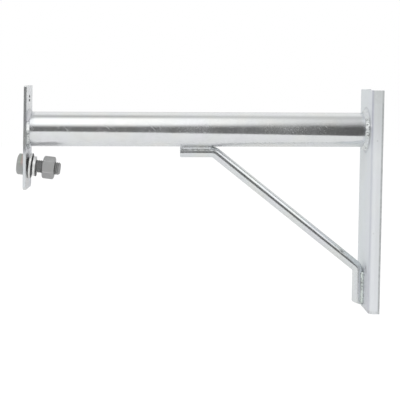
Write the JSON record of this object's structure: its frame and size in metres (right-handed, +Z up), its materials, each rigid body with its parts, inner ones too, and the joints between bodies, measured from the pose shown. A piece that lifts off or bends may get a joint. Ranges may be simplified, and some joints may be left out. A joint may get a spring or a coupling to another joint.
{
  "type": "extension arm bracket",
  "caption": "Welded zinc-plated steel extension arm: tube between an end plate and a folded pole rail, with a bent round-bar brace and a loose bolt set.",
  "frame": {"origin": "between the pole rail's two long edges, in the plane where they meet the pole, at the height of the tube's axis", "axes": "+X out of the rail towards the pole, so the arm reaches along -X; +Y across, +Z up"},
  "size_m": [0.3994, 0.07, 0.2481],
  "materials": {
    "tube_zinc": "bright zinc plate over drawn tube",
    "plate_zinc": "satin zinc plate",
    "rail_zinc": "pale satin zinc plate, faintly blue",
    "bar_zinc": "bright zinc plate over drawn bar",
    "weld_zinc": "plated weld bead, uneven",
    "washer_zinc": "bright zinc plate",
    "bolt_steel": "dull dark zinc",
    "nut_steel": "dull grey zinc"
  },
  "bodies": {
    "root": {"arm_tube": "tube_zinc", "end_plate": "plate_zinc", "pole_rail": "rail_zinc", "brace_bar": "bar_zinc", "weld_tube_plate": "weld_zinc", "weld_tube_rail": "weld_zinc", "weld_brace_tube_front": "weld_zinc", "weld_brace_tube_back": "weld_zinc", "weld_brace_rail_front": "weld_zinc", "weld_brace_rail_back": "weld_zinc", "clamp_bolt": "bolt_steel", "flat_washer": "washer_zinc", "spring_washer": "washer_zinc", "hex_nut": "nut_steel"}
  },
  "joints": []
}
